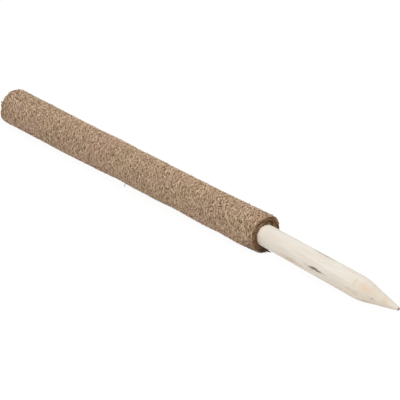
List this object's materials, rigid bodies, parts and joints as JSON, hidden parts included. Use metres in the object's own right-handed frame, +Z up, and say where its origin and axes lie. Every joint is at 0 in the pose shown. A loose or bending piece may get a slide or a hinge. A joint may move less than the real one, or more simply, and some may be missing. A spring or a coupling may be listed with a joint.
{
  "type": "moss pole",
  "caption": "Moss pole: a pointed round wooden stake wrapped over most of its length in coir felt, pushed into potting soil to carry climbing plants.",
  "frame": {"origin": "on the ground under the middle of the lying pole, at the bottom centre of its bounding box", "axes": "+X along the pole towards its point, +Z up from the ground it lies on, as it lies in the picture"},
  "size_m": [0.6, 0.0384, 0.0384],
  "materials": {
    "peeled_wood": "matt, bare softwood",
    "inner_coir": "matt, coarse fibre felt",
    "thread": "satin, twisted thread",
    "outer_coir": "matt, coarse fibre felt"
  },
  "bodies": {
    "root": {"stake": "peeled_wood", "inner_coir_mat": "inner_coir", "binding_thread": "thread", "outer_coir_fleece": "outer_coir"}
  },
  "joints": []
}
